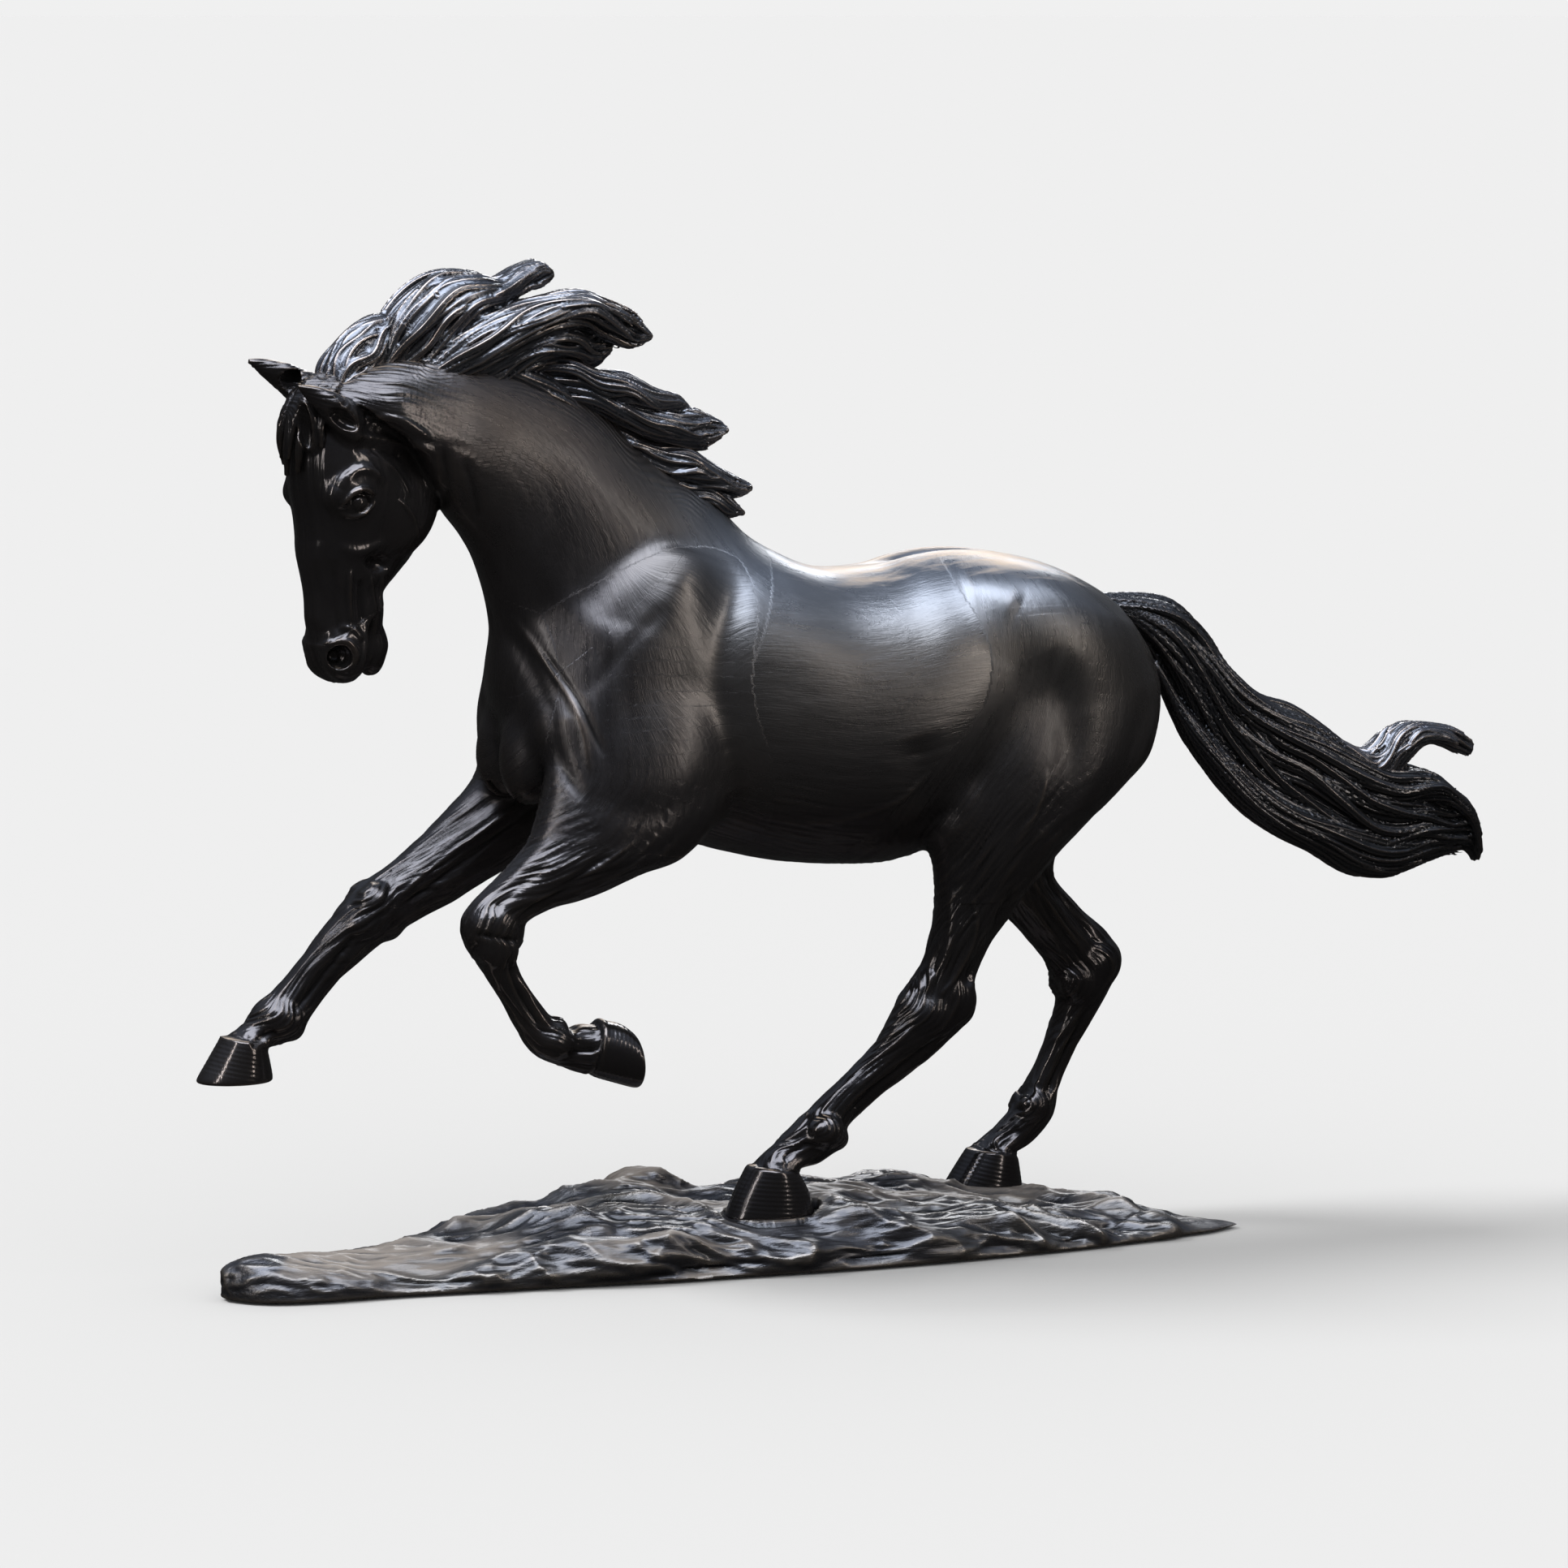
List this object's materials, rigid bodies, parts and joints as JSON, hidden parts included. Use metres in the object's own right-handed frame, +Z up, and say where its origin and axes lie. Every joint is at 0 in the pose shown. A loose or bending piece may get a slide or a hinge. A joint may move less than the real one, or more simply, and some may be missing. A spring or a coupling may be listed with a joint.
{
  "type": "galloping horse statuette",
  "caption": "Dark-patinated bronze statuette of a galloping horse with wind-blown mane and tail, standing by its hind hooves on a low rocky cast ground.",
  "frame": {"origin": "middle of the statuette's box, on the surface that it stands on", "axes": "+X from nose to tail, +Z up, so the horse's left side faces -Y"},
  "size_m": [0.59, 0.121, 0.4249],
  "materials": {
    "body_patina": "satin near-black bronze patina, waxed",
    "limb_patina": "glossy near-black bronze patina, waxed",
    "hair_patina": "glossy near-black bronze patina with rubbed ridges",
    "ground_patina": "black and tan bronze patina",
    "rod_bronze": "turned bronze rod",
    "fixing_steel": "plain",
    "felt": "felt"
  },
  "bodies": {
    "root": {"torso_casting": "body_patina", "neck_casting": "body_patina", "head_casting": "body_patina", "mane_crest_casting": "hair_patina", "mane_middle_lock": "hair_patina", "mane_lower_lock": "hair_patina", "left_foreleg_casting": "limb_patina", "right_foreleg_casting": "limb_patina", "left_hind_leg_casting": "limb_patina", "right_hind_leg_casting": "limb_patina", "tail_casting": "hair_patina", "tail_curl_casting": "hair_patina", "ground_casting": "ground_patina", "joint_dowels": "rod_bronze", "hair_pins": "rod_bronze", "hoof_studs": "fixing_steel", "stud_washers": "fixing_steel", "stud_nuts": "fixing_steel", "felt_discs": "felt"}
  },
  "joints": []
}
